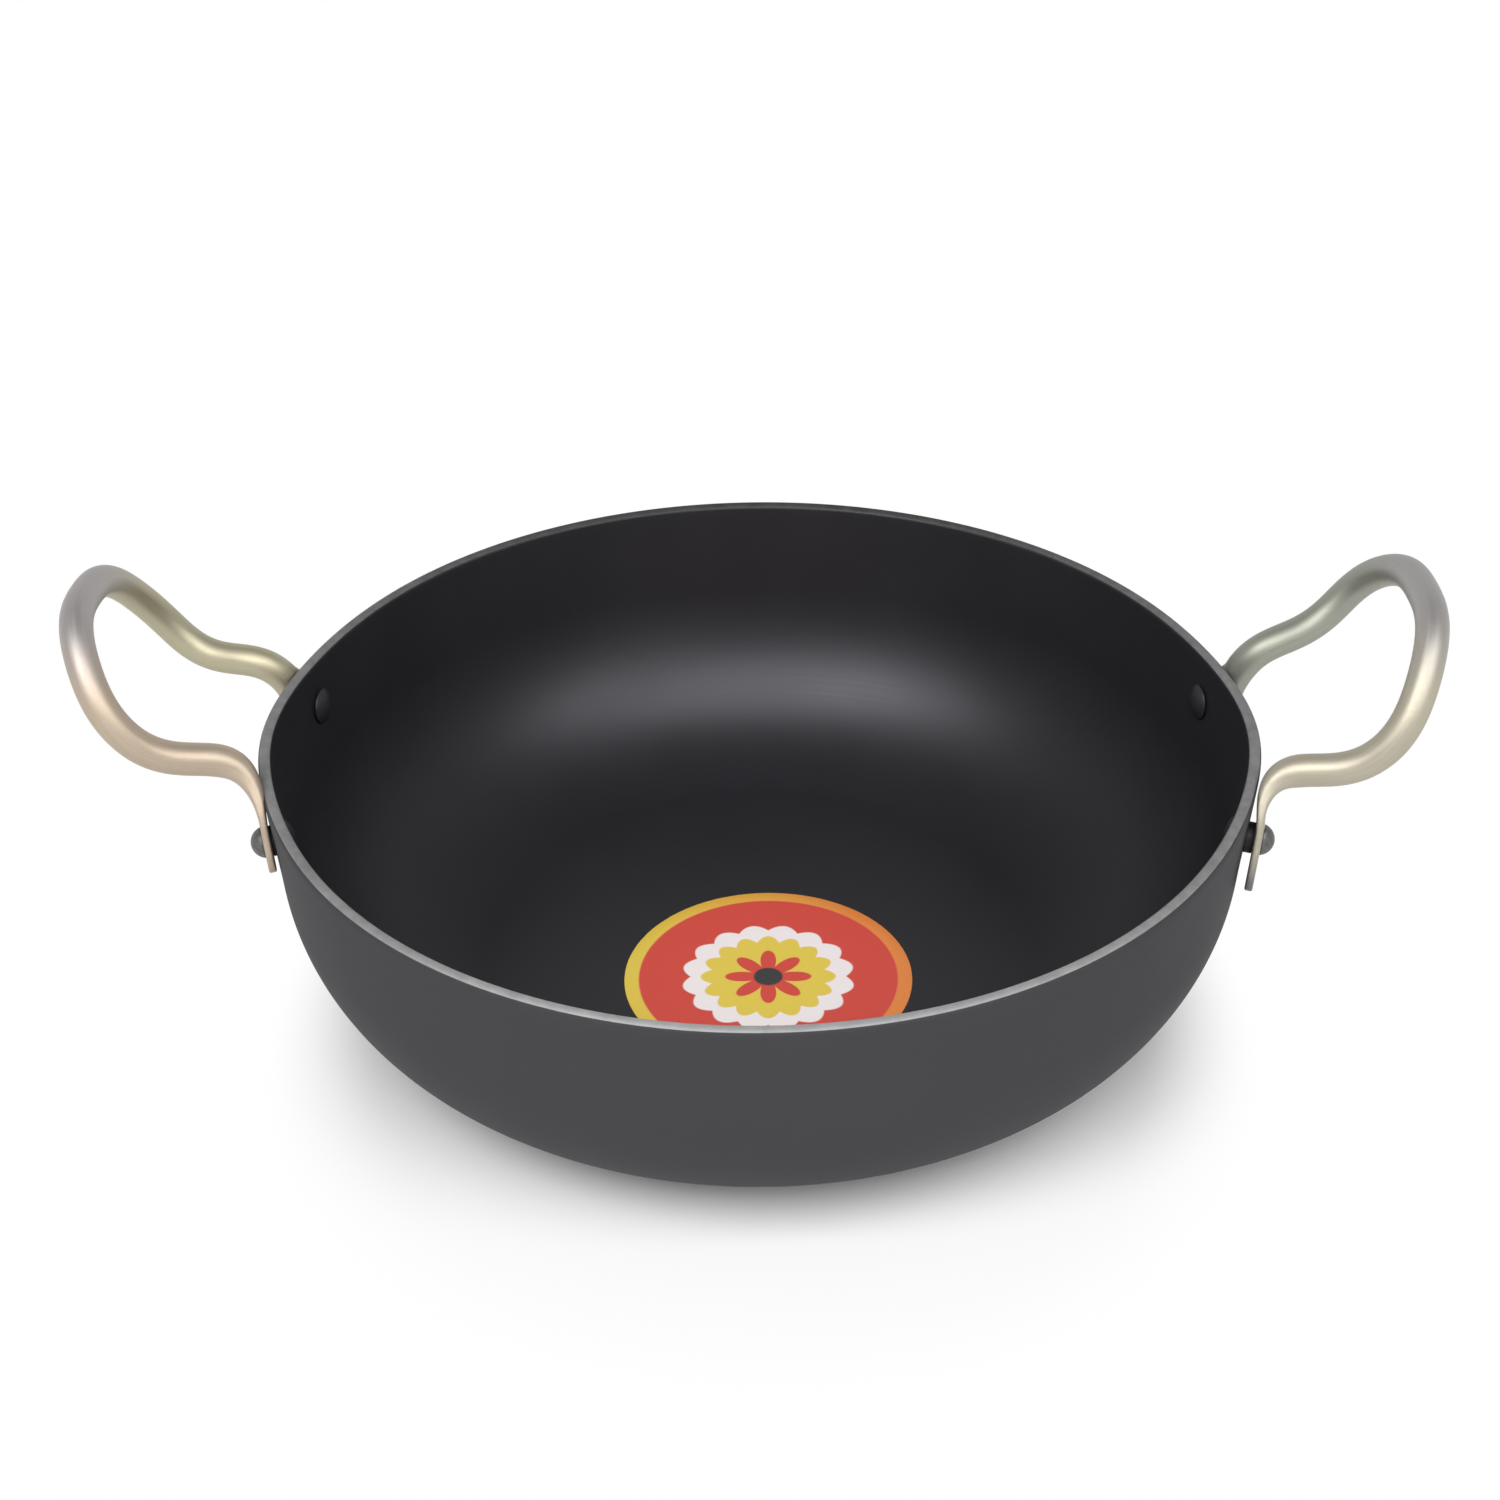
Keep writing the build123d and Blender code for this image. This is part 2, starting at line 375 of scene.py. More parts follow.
# %% Helpers for materials
def new_material(name, **settings):
    """A material with a Principled shader, whose constant values are set on its own sockets."""
    material = bpy.data.materials.new(name)
    material.use_nodes = True
    tree = material.node_tree
    shader = tree.nodes["Principled BSDF"]
    for socket, value in settings.items():
        shader.inputs[socket.replace("_", " ")].default_value = value
    return material, tree, shader.inputs


def effect(group, inputs):
    """One shared effect placed in a material."""
    return follow("ShaderNodeGroup", inputs, node_tree=group).outputs["Value"]


def grained(place, size, contrast):
    """The grain effect with spots of a size in metres."""
    return effect(grain_group, {"Vector": place, "Size": size, "Contrast": contrast})


def ringed(place, pitch, wander):
    """The lathe's rings, so many metres apart, along the outline that a piece was turned from."""
    length = stored(place.id_data, "turned_length")
    inputs = {"Length": length, "Vector": place, "Pitch": pitch, "Wander": wander}
    return effect(rings_group, inputs)


def blend_colours(factor, first, second):
    """The first colour where the factor is 0 and the second where it is 1."""
    inputs = {0: factor, 6: first, 7: second}
    return follow("ShaderNodeMix", inputs, data_type="RGBA").outputs[2]


def from_noise(noise, new_low, new_high):
    """A noise carried to a range. It seldom leaves the span from 0.3 to 0.7."""
    return remap(noise, 0.3, 0.7, new_low, new_high)


def bump(height, strength, depth, under=None):
    """The normal of a surface that a height map raises by up to a depth in metres."""
    inputs = {"Height": height, "Strength": strength, "Distance": depth}
    if under:
        inputs["Normal"] = under
    return follow("ShaderNodeBump", inputs).outputs[0]


def paint_with(shader, colour, roughness, normal):
    """Joins a finish's colour, roughness and normal to its shader."""
    for label, source in (("Base Color", colour), ("Roughness", roughness), ("Normal", normal)):
        source.id_data.links.new(source, shader[label])


def object_place(tree):
    """Each point's place on the piece, in metres."""
    return add_node(tree, "ShaderNodeTexCoord").outputs["Object"]


def stored(tree, name, output="Fac"):
    """A value or vector that the piece's mesh carries under a name."""
    return add_node(tree, "ShaderNodeAttribute", attribute_name=name).outputs[output]


# %% [markdown]
# ## The anodised skin
# Hard anodising grows a dark, glass-hard oxide out of the aluminium itself. It is matte
# outside, where the metal was blasted, and satin inside, where it was turned smooth. Both
# have faint rings from the spinning former, a fine grain, and slow patches where the bath
# coloured the metal a little more or less.


# %% Anodised finishes
def anodised(name, dark, light, smooth, rough, ring_depth, shine, tint):
    """A hard-anodised finish between two colours and two roughnesses."""
    finish, tree, shader = new_material(name, Metallic=0.0, Specular_IOR_Level=shine, Specular_Tint=tint)
    place = object_place(tree)
    grain, patches = grained(place, 0.00035, 1.4), grained(place, 0.045, 1.3)
    rings = ringed(place, pitch=0.0009, wander=0.6)
    patch_share, grain_share, ring_share = 0.55, 0.3, 0.15
    shade = calculate("MULTIPLY", grain, grain_share)
    shade = calculate("MULTIPLY_ADD", patches, patch_share, shade)
    shade = calculate("MULTIPLY_ADD", rings, ring_share, shade)
    uneven = calculate("MULTIPLY_ADD", rings, 0.4, calculate("MULTIPLY", patches, 0.6))
    normal = bump(grain, 0.5, 0.00001, bump(rings, 0.6, ring_depth))
    paint_with(shader, blend_colours(shade, dark, light), from_noise(uneven, smooth, rough), normal)
    return finish


outside_finish = anodised(
    "anodised_outside",
    dark=(0.0238, 0.023, 0.0263, 1),
    light=(0.0385, 0.037, 0.0416, 1),
    smooth=0.7,
    rough=0.82,
    ring_depth=0.000008,
    shine=0.42,
    tint=(1, 1, 1, 1),
)
inside_finish = anodised(
    "anodised_inside",
    dark=(0.009, 0.0092, 0.0114, 1),
    light=(0.0152, 0.0155, 0.0185, 1),
    smooth=0.4,
    rough=0.48,
    ring_depth=0.000006,
    shine=0.545,
    tint=(0.95, 0.93, 1, 1),
)
print(outside_finish.name, inside_finish.name)

# %% [markdown]
# The rim is cut last, on the lathe, so the tool takes the dark skin off and leaves bright
# metal with very fine rings around it. Its colour carries painted light and shade: pale at
# the front and nearly dark at the back, three tones blended by how far back a point lies.

# %% Turned rim
rim_finish, tree, shader = new_material("turned_rim", Metallic=0.75)
rim_place = object_place(tree)
rim_rings = ringed(rim_place, pitch=0.00012, wander=0.5)
rim_wear = grained(rim_place, 0.004, 1.8)
# Painted light and shade: the rim's tone is lit pale at the front and shaded nearly dark at the back.
front_lit_rim_tone = blend_colours(rim_wear, (0.34, 0.34, 0.345, 1), (0.44, 0.44, 0.44, 1))
side_half_lit_rim_tone = blend_colours(rim_wear, (0.22, 0.218, 0.222, 1), (0.31, 0.308, 0.31, 1))
back_shaded_rim_tone = blend_colours(rim_wear, (0.05, 0.05, 0.052, 1), (0.09, 0.09, 0.09, 1))
rim_depth = split(rim_place)["Y"]
side_from, side_to = -0.12, -0.06  # between these the painted lit front tone gives way to the side's half-lit one
far_from, far_to = 0.02, 0.115  # and between these the side's to the painted shade at the back
rim_tone_with_painted_light = blend_colours(remap(rim_depth, side_from, side_to), front_lit_rim_tone, side_half_lit_rim_tone)
rim_tone_with_painted_light = blend_colours(remap(rim_depth, far_from, far_to), rim_tone_with_painted_light, back_shaded_rim_tone)
paint_with(shader, rim_tone_with_painted_light, from_noise(rim_rings, 0.7, 0.84), bump(rim_rings, 0.6, 0.00001))
print(rim_finish.name, "from", side_from, "to", far_to)

# %% [markdown]
# ## One tree that turns
# A lathe makes the bowl, the rivets and the washers, so one geometry tree does the same:
# it takes an outline drawn beside the Z axis and carries it round. It could be done with
# the Screw modifier, but a tree can also note how far along the outline each point lies,
# which the lathe rings need. The grid has one row of points for each step round, and each
# point reads its place from the outline. Merging the doubles closes the seam and the poles.

# %% The turning tree
turn_tree, entry, leave = new_tree(
    "turned_piece",
    "GeometryNodeTree",
    {"Geometry": "Geometry", "Steps": 64, "Finish": "Material"},
    {"Geometry": "Geometry"},
)
tree, outline = turn_tree, entry["Geometry"]
double = 1e-6  # metres between points that count as one
count = follow("GeometryNodeAttributeDomainSize", {0: outline}, component="CURVE").outputs["Point Count"]
rows = follow("FunctionNodeIntegerMath", {0: entry["Steps"], 1: 1}, operation="ADD").outputs[0]
grid = follow("GeometryNodeMeshGrid", {"Vertices X": rows, "Vertices Y": count})
index = add_node(tree, "GeometryNodeInputIndex").outputs[0]
row = follow("FunctionNodeIntegerMath", {0: index, 1: count}, operation="DIVIDE_FLOOR").outputs[0]
column = follow("FunctionNodeIntegerMath", {0: index, 1: count}, operation="MODULO").outputs[0]
place = {"Value": add_node(tree, "GeometryNodeInputPosition").outputs[0], "Index": column}
place = follow("GeometryNodeSampleIndex", {"Geometry": outline, **place}, data_type="FLOAT_VECTOR")
length = {"Value": add_node(tree, "GeometryNodeSplineParameter").outputs["Length"], "Index": column}
length = follow("GeometryNodeSampleIndex", {"Geometry": outline, **length}, data_type="FLOAT")
angle = calculate("MULTIPLY", calculate("DIVIDE", row, entry["Steps"]), 2 * pi)
parts = split(place.outputs[0])
turned_x = calculate("MULTIPLY", parts["X"], calculate("COSINE", angle))
turned_y = calculate("MULTIPLY", parts["X"], calculate("SINE", angle))
turned = {0: grid.outputs["Mesh"], "Position": joined(turned_x, turned_y, parts["Z"])}
turned = follow("GeometryNodeSetPosition", turned)
noted = note(turned.outputs[0], "turned_length", length.outputs[0])
closed = follow("GeometryNodeMergeByDistance", {"Geometry": noted, "Distance": double})
end_tree(closed.outputs[0], entry["Finish"], leave)
print(tree.name, len(tree.nodes), "nodes")

# %% [markdown]
# The bowl has three finishes on one piece of metal, so its own tree turns the outline with
# the tree above, and then gives the faces between two lengths along the outline the bright
# rim, and those after it the inside's finish. Riveting has also pulled the wall out a
# little at both handles, most at the rim, so the tree first pushes each point outwards by a
# bell curve of its angle from the handles, which fades out below a stated height.

# %% The bowl's tree
bowl_tree, entry, leave = new_tree(
    "spun_bowl",
    "GeometryNodeTree",
    {
        "Geometry": "Geometry",
        "Steps": 320,
        "Outside Finish": "Material",
        "Rim Finish": "Material",
        "Inside Finish": "Material",
        "Rim Start": 0.0,
        "Rim End": 0.0,
        "Pull": 0.0,
        "Pull Angle": 0.24,
        "Pull From": 0.045,
        "Pull Full": 0.073,
    },
    {"Geometry": "Geometry"},
)
tree = bowl_tree
spun = {"Geometry": entry["Geometry"], "Steps": entry["Steps"], "Finish": entry["Outside Finish"]}
turned = follow("GeometryNodeGroup", spun, node_tree=turn_tree).outputs[0]
parts = split(add_node(tree, "GeometryNodeInputPosition").outputs[0])
across, deep = (calculate("ABSOLUTE", parts[part]) for part in "XY")
aside = calculate("DIVIDE", calculate("ARCTAN2", deep, across), entry["Pull Angle"])
aside = calculate("MULTIPLY", calculate("POWER", aside, 2.0), -1.0)
bell = calculate("EXPONENT", aside)
high = remap(parts["Z"], entry["Pull From"], entry["Pull Full"], ramp="SMOOTHSTEP")
pull = calculate("MULTIPLY", calculate("MULTIPLY", bell, high), entry["Pull"])
outward = vector_sum("NORMALIZE", joined(parts["X"], parts["Y"]))
pulled = follow("GeometryNodeSetPosition", {"Geometry": turned, "Offset": scaled(outward, pull)})
dressed = follow("GeometryNodeRealizeInstances", {"Geometry": pulled.outputs[0]}).outputs[0]
turned_length = {"Name": "turned_length"}
turned_length = add_node(tree, "GeometryNodeInputNamedAttribute", turned_length, data_type="FLOAT").outputs[0]
for start, finish in (("Rim Start", "Rim Finish"), ("Rim End", "Inside Finish")):
    past = {0: turned_length, 1: entry[start]}
    past = follow("FunctionNodeCompare", past, operation="GREATER_THAN").outputs[0]
    chosen = {"Geometry": dressed, "Selection": past, "Material": entry[finish]}
    dressed = follow("GeometryNodeSetMaterial", chosen).outputs[0]
tree.links.new(dressed, leave["Geometry"])
print(tree.name, len(tree.nodes), "nodes")


# %% [markdown]
# ## The bowl
# Its outline runs from the middle of the base outwards, up the round side and the leaning
# wall, over the rim and back down inside to the middle of the floor. The round stretches
# are arcs, and the rim's two edges are eased by a small one each.


# %% Outline of the bowl
def arc(centre, radius, start, end, steps):
    """Points of an arc beside the Z axis, without its first one. Angles are counted from level."""
    turns = [start + (end - start) * step / steps for step in range(1, steps + 1)]
    return [Vector((centre[0] + radius * cos(t), 0, centre[1] + radius * sin(t))) for t in turns]


def between(start, end, steps):
    """Points of a straight stretch, without its first one."""
    return [start.lerp(end, step / steps) for step in range(1, steps + 1)]


def rounded_edge(reach, low, high, ease, steps):
    """The outer edge of a flat round piece, with both its corners rounded."""
    corners = ((low + ease, -pi / 2, 0), (high - ease, 0, pi / 2))
    return [p for level, a, b in corners for p in arc((reach - ease, level), ease, a, b, steps)]


def outline_length(points):
    """How long the line through some points is."""
    return sum((b - a).length for a, b in zip(points, points[1:]))


floor_steps, side_steps, wall_steps, ease_steps, top_steps = 24, 56, 14, 8, 4
outer_cut, inner_cut = 0.7, 0.5  # where the bright rim starts and ends on its edges, in easing radii
curve_centre = (base_radius, side_curve)
ease_in = rim_radius - wall / cos(wall_lean) + rim_ease * (1 / cos(wall_lean) - tan(wall_lean))
outer_ease = (rim_radius - rim_ease * (1 / cos(wall_lean) + tan(wall_lean)), bowl_height - rim_ease)
inner_ease = (ease_in, bowl_height - rim_ease)

bowl_points = [Vector((0, 0, 0))]
bowl_points += between(bowl_points[-1], Vector((base_radius, 0, 0)), floor_steps)
bowl_points += arc(curve_centre, side_curve, -pi / 2, -wall_lean, side_steps)
outer_edge = arc(outer_ease, rim_ease, -wall_lean - 0.001, pi / 2, ease_steps)
bowl_points += between(bowl_points[-1], outer_edge[0], wall_steps)
rim_start = outline_length(bowl_points) + rim_ease * outer_cut
bowl_points += outer_edge[1:]
inner_edge = arc(inner_ease, rim_ease, pi / 2, pi - wall_lean, ease_steps)
bowl_points += between(bowl_points[-1], Vector((ease_in, 0, bowl_height)), top_steps)
bowl_points += inner_edge
rim_end = outline_length(bowl_points) - rim_ease * inner_cut
inner_top = arc(curve_centre, side_curve - wall, -wall_lean, -pi / 2, side_steps)
bowl_points += between(bowl_points[-1], inner_top[0], wall_steps)
bowl_points += inner_top[1:]
bowl_points += between(bowl_points[-1], Vector((0, 0, wall)), floor_steps)
print(len(bowl_points), "points, rim from", round(rim_start, 4), "to", round(rim_end, 4))

# %% Spin the bowl
bowl = grow(
    "spun_bowl",
    line_of_points("bowl_outline", bowl_points),
    bowl_tree,
    {
        "Outside Finish": outside_finish,
        "Rim Finish": rim_finish,
        "Inside Finish": inside_finish,
        "Rim Start": rim_start,
        "Rim End": rim_end,
        "Pull": 0.0019,
        "Pull Angle": radians(14),
    },
)
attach(bowl, "root")
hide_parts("bowl")

# %% [markdown]
# ## Plated rod
# The handles are steel rod with a yellow passivated zinc plate. Its film is only a few
# wavelengths of light thick, so it drifts from place to place: pinkish at the left front,
# sandy at the right front, olive and greenish at the back. The crowns carry a painted cool
# grey reflection of the sky above, and the right tabs' lower ends a painted grey shade. The
# rod keeps the fine lines of the die that it was drawn through, and it is duller where the
# press flattened its ends.

# %% Plate finish
plate_finish, tree, shader = new_material("passivated_plate", Metallic=0.75)
plate_place = object_place(tree)
rod_space = stored(tree, "rod_space", "Vector")
drawn = effect(drawn_group, {"Rod Space": rod_space, "Fineness": 2600, "Stretch": 45})
film = grained(plate_place, 0.022, 1.9)
speckle = grained(plate_place, 0.0006, 1.3)
place_parts = split(plate_place)
back_share = remap(place_parts["Y"], -0.02, 0.025)
right_share = remap(place_parts["X"], -0.05, 0.05)
pinkish = blend_colours(film, (0.52, 0.415, 0.32, 1), (0.54, 0.46, 0.355, 1))
sandy = blend_colours(film, (0.49, 0.445, 0.355, 1), (0.52, 0.485, 0.385, 1))
olive = blend_colours(film, (0.49, 0.445, 0.30, 1), (0.50, 0.47, 0.345, 1))
greenish = blend_colours(film, (0.35, 0.36, 0.30, 1), (0.39, 0.395, 0.34, 1))
crown_painted_reflection, tab_end_painted_shade = (0.43, 0.415, 0.425, 1), (0.2, 0.197, 0.195, 1)
front_tone = blend_colours(right_share, pinkish, sandy)
back_tone = blend_colours(right_share, olive, greenish)
tone = blend_colours(back_share, front_tone, back_tone)
# Painted reflection: the crowns' tops are greyed as the dim sky above would show in them.
crown_reflection_share = remap(place_parts["Z"], 0.101, 0.114, 0.0, 0.85)
tone = blend_colours(crown_reflection_share, tone, crown_painted_reflection)
# Painted shade: the right tabs' lower ends are darkened where the bowl's wall shades them.
tab_end_shade_share = remap(place_parts["Z"], 0.061, 0.053, 0.0, 0.9)
tone = blend_colours(calculate("MULTIPLY", tab_end_shade_share, right_share), tone, tab_end_painted_shade)
line_share, line_grey = 0.28, (0.55, 0.55, 0.55, 1)
lined = blend_colours(from_noise(drawn, 0.0, 1.0), line_grey, (1, 1, 1, 1))
lined = {0: line_share, 6: tone, 7: lined}
darkened = follow("ShaderNodeMix", lined, data_type="RGBA", blend_type="MULTIPLY")
uneven = calculate("MULTIPLY_ADD", drawn, 0.5, calculate("MULTIPLY", speckle, 0.5))
pressed_dulling = calculate("MULTIPLY", stored(tree, "flatness"), 0.1)
rough = calculate("ADD", from_noise(uneven, 0.44, 0.58), pressed_dulling)
paint_with(shader, darkened.outputs[2], rough, bump(speckle, 0.3, 0.000003, bump(drawn, 0.5, 0.000007)))
print(plate_finish.name, len(tree.nodes), "nodes")

# %% [markdown]
# ## One tree that bends rod
# A handle is bent from straight rod over pins, and its two ends are pressed flat. The tree
# does the same in that order. It rounds the corners of a route, smooths the line as springy
# metal does, most in the loop, sweeps a circle along it, and then presses each ring of
# points between its round section and a flat one. How flat a ring is depends only on how
# far it lies from the nearer end. The press works square to the wall, so the tree is told
# which way that is at each end.

# %% The rod's tree: its line
rod_tree, entry, leave = new_tree(
    "bent_rod",
    "GeometryNodeTree",
    {
        "Geometry": "Geometry",
        "Radius": 0.0035,
        "Sides": 40,
        "Spacing": 0.0008,
        "Flat Length": 0.0155,
        "Front Neck": 0.02,
        "Back Neck": 0.01,
        "Loop From": 0.04,
        "Flat Width": 0.013,
        "Flat Thickness": 0.002,
        "Tip Radius": 0.0055,
        "Edge Sharpness": 0.35,
        "Front Outward": "Vector",
        "Back Outward": "Vector",
        "Finish": "Material",
    },
    {"Geometry": "Geometry"},
)
tree = rod_tree
corner_steps, smoothing_rounds = 16, 70
stiff_share = 0.25  # how much of the smoothing reaches the legs
give_way = 0.003  # each side of the flat end, over which the smoothing sets in
loop_run = 0.02  # over which it grows to its full strength
tip_margin, tip_cuts = 0.001, 4.0  # the tips get finer rings
corner_size = add_node(tree, "GeometryNodeInputRadius").outputs[0]
rounded = {"Curve": entry["Geometry"], "Count": corner_steps, "Radius": corner_size, "Limit Radius": True}
rounded = follow("GeometryNodeFilletCurve", rounded, mode="POLY")
resampled = {"Curve": rounded.outputs[0], "Length": entry["Spacing"]}
resampled = follow("GeometryNodeResampleCurve", resampled, mode="LENGTH")
here = add_node(tree, "GeometryNodeInputPosition").outputs[0]
so_far = add_node(tree, "GeometryNodeSplineParameter").outputs["Length"]
whole = add_node(tree, "GeometryNodeSplineLength").outputs["Length"]
from_end = calculate("MINIMUM", so_far, calculate("SUBTRACT", whole, so_far))
past_middle = calculate("GREATER_THAN", so_far, calculate("MULTIPLY", whole, 0.5))
springy_from = calculate("SUBTRACT", entry["Flat Length"], give_way)
springy_to = calculate("ADD", entry["Flat Length"], give_way)
springy = remap(from_end, springy_from, springy_to, ramp="SMOOTHSTEP")
loop_from = calculate("ADD", entry["Flat Length"], entry["Loop From"])
loop_to = calculate("ADD", loop_from, loop_run)
loop_share = remap(from_end, loop_from, loop_to, stiff_share, 1.0, "SMOOTHSTEP")
sprung = {"Iterations": smoothing_rounds, "Weight": calculate("MULTIPLY", springy, loop_share)}
sprung = follow("GeometryNodeBlurAttribute", sprung, data_type="FLOAT_VECTOR")
tree.links.new(here, next(s for s in sprung.inputs if s.name == "Value" and s.enabled))
line = {"Geometry": resampled.outputs[0], "Position": next(s for s in sprung.outputs if s.enabled)}
line = follow("GeometryNodeSetPosition", line)
tip = calculate("LESS_THAN", from_end, calculate("ADD", entry["Tip Radius"], tip_margin))
cuts = calculate("MULTIPLY", tip, tip_cuts)
fine_line = follow("GeometryNodeSubdivideCurve", {"Curve": line.outputs[0], "Cuts": cuts})
print(tree.name, len(tree.nodes), "nodes so far")

# %% The rod's tree: its rings
kept = follow("GeometryNodeCaptureAttribute", {"Geometry": fine_line.outputs[0]}, domain="POINT")
heading = add_node(tree, "GeometryNodeInputTangent").outputs[0]
for socket_type, label, source in (
    ("VECTOR", "Centre", here),
    ("VECTOR", "Heading", heading),
    ("FLOAT", "From End", from_end),
    ("FLOAT", "So Far", so_far),
    ("FLOAT", "Past Middle", past_middle),
):
    kept.capture_items.new(socket_type, label)
    tree.links.new(source, kept.inputs[label])
circle = {"Resolution": entry["Sides"], "Radius": entry["Radius"]}
circle = follow("GeometryNodeCurvePrimitiveCircle", circle, mode="RADIUS")
circle_kept = {"Geometry": circle.outputs[0]}
circle_kept = follow("GeometryNodeCaptureAttribute", circle_kept, domain="POINT")
circle_kept.capture_items.new("FLOAT", "Turn")
circle_share = add_node(tree, "GeometryNodeSplineParameter").outputs["Factor"]
tree.links.new(circle_share, circle_kept.inputs["Turn"])
swept = {"Curve": kept.outputs[0], "Profile Curve": circle_kept.outputs[0], "Scale": 1.0, "Fill Caps": True}
swept = follow("GeometryNodeCurveToMesh", swept)
print(tree.name, "notes", [item.name for item in kept.capture_items])

# %% The rod's tree: how flat, how wide, how thick
tip_distance = kept.outputs["From End"]
neck = calculate("SUBTRACT", entry["Back Neck"], entry["Front Neck"])
neck = calculate("MULTIPLY_ADD", neck, kept.outputs["Past Middle"], entry["Front Neck"])
flat_end = calculate("ADD", entry["Flat Length"], neck)
flatness = remap(tip_distance, entry["Flat Length"], flat_end, 1.0, 0.0, "SMOOTHSTEP")
broadness = calculate("POWER", flatness, 2.0)  # a ring thins before it broadens


def quarter_round(distance, radius):
    """How far a rounded corner's edge has come out at a distance from its tip, up to the radius."""
    left = calculate("MAXIMUM", calculate("SUBTRACT", radius, distance), 0.0)
    rest = calculate("SUBTRACT", *(calculate("POWER", side, 2.0) for side in (radius, left)))
    return calculate("SQRT", calculate("MAXIMUM", rest, 0.0))


def press(round_size, flat_size, share):
    """The size of a ring that is round where the share is 0 and flat where it is 1."""
    change = calculate("SUBTRACT", flat_size, round_size)
    return calculate("MULTIPLY_ADD", change, share, round_size)


edge_share, core_share = 0.3, 0.2  # of the thickness: the tip's rounding, and half of what stays flat
half_width = calculate("MULTIPLY", entry["Flat Width"], 0.5)
straight_part = calculate("SUBTRACT", half_width, entry["Tip Radius"])
round_part = quarter_round(tip_distance, entry["Tip Radius"])
tip_width = calculate("ADD", straight_part, round_part)
edge_round = calculate("MULTIPLY", entry["Flat Thickness"], edge_share)
core = calculate("MULTIPLY", entry["Flat Thickness"], core_share)
tip_thickness = calculate("ADD", core, quarter_round(tip_distance, edge_round))
reach_across = press(entry["Radius"], tip_width, broadness)
reach_out = press(entry["Radius"], tip_thickness, flatness)
sharper = calculate("SUBTRACT", entry["Edge Sharpness"], 1.0)
power = calculate("MULTIPLY_ADD", flatness, sharper, 1.0)

# %% The rod's tree: pressing the rings
wall_way = {0: kept.outputs["Past Middle"], 4: entry["Front Outward"], 5: entry["Back Outward"]}
wall_way = follow("ShaderNodeMix", wall_way, data_type="VECTOR").outputs[1]
heading = kept.outputs["Heading"]
lengthwise = scaled(heading, vector_sum("DOT_PRODUCT", wall_way, heading))
outward = vector_sum("NORMALIZE", vector_sum("SUBTRACT", wall_way, lengthwise))
sideways = vector_sum("CROSS_PRODUCT", heading, outward)
offset = vector_sum("SUBTRACT", here, kept.outputs["Centre"])


def pressed_offset(direction, reach):
    """The part of a ring point's offset along a direction, pressed to a new reach."""
    part = calculate("DIVIDE", vector_sum("DOT_PRODUCT", offset, direction), entry["Radius"])
    bent = calculate("POWER", calculate("ABSOLUTE", part), power)
    bent = calculate("MULTIPLY", bent, calculate("SIGN", part))
    return scaled(direction, calculate("MULTIPLY", bent, reach))


pressed = (pressed_offset(outward, reach_out), pressed_offset(sideways, reach_across))
ring_place = vector_sum("ADD", kept.outputs["Centre"], vector_sum("ADD", *pressed))
formed = follow("GeometryNodeSetPosition", {"Geometry": swept.outputs[0], "Position": ring_place})

# %% The rod's tree: what the plate needs to know
turn_angle = calculate("MULTIPLY", circle_kept.outputs["Turn"], 2 * pi)
rounds = [
    calculate("MULTIPLY", calculate(way, turn_angle), entry["Radius"]) for way in ("COSINE", "SINE")
]
rod_space = joined(*rounds, kept.outputs["So Far"])
noted = note(formed.outputs[0], "rod_space", rod_space, "FLOAT_VECTOR")
noted = note(noted, "flatness", flatness)
end_tree(noted, entry["Finish"], leave)
print(tree.name, len(tree.nodes), "nodes")

# %% [markdown]
# ## Where the rivets sit
# Everything outside the bowl hangs on four rivets. Each sits square to the leaning wall, so
# one small function gives the place of a rivet and the three ways from it: along the wall,
# up it, and out of it.

# %% Rivet seats
rivet_spacing, rivet_drop = 0.064, 0.0127
rivet_height = bowl_height - rivet_drop
rivet_radius, rivet_lean = wall_at(rivet_height)
rivet_angle = asin(rivet_spacing / 2 / rivet_radius)


def rivet_seat(side, end):
    """Place, along, up and outward at a rivet. Side 1 is right and -1 left, end -1 is front and 1 back."""
    across = Vector((cos(rivet_angle) * side, sin(rivet_angle) * end, 0))
    along = Vector((-across.y, across.x, 0))
    outward = across * cos(rivet_lean) - Vector((0, 0, sin(rivet_lean)))
    return across * rivet_radius + Vector((0, 0, rivet_height)), along, outward.cross(along), outward


def seat_matrix(side, end):
    """Carries a piece turned about Z to a rivet, with its Z pointing outwards."""
    place, along, up, outward = rivet_seat(side, end)
    return Matrix.Translation(place) @ Matrix((along, up, outward)).transposed().to_4x4()


print("rivets at", [round(1000 * x, 1) for x in rivet_seat(1, 1)[0]], "mm")

# %% [markdown]
# ## The handles
# Each leg goes up the wall, bends out over the rim, and turns at a knee, a side and a
# crown, where it meets the other leg. The handles were bent by hand, so the heights of the
# corners differ from leg to leg. A leg is named by its side and its end, as a rivet is. The
# corner radius comes from the shorter run beside it.

# %% Route of a handle
rod_radius = 0.00409
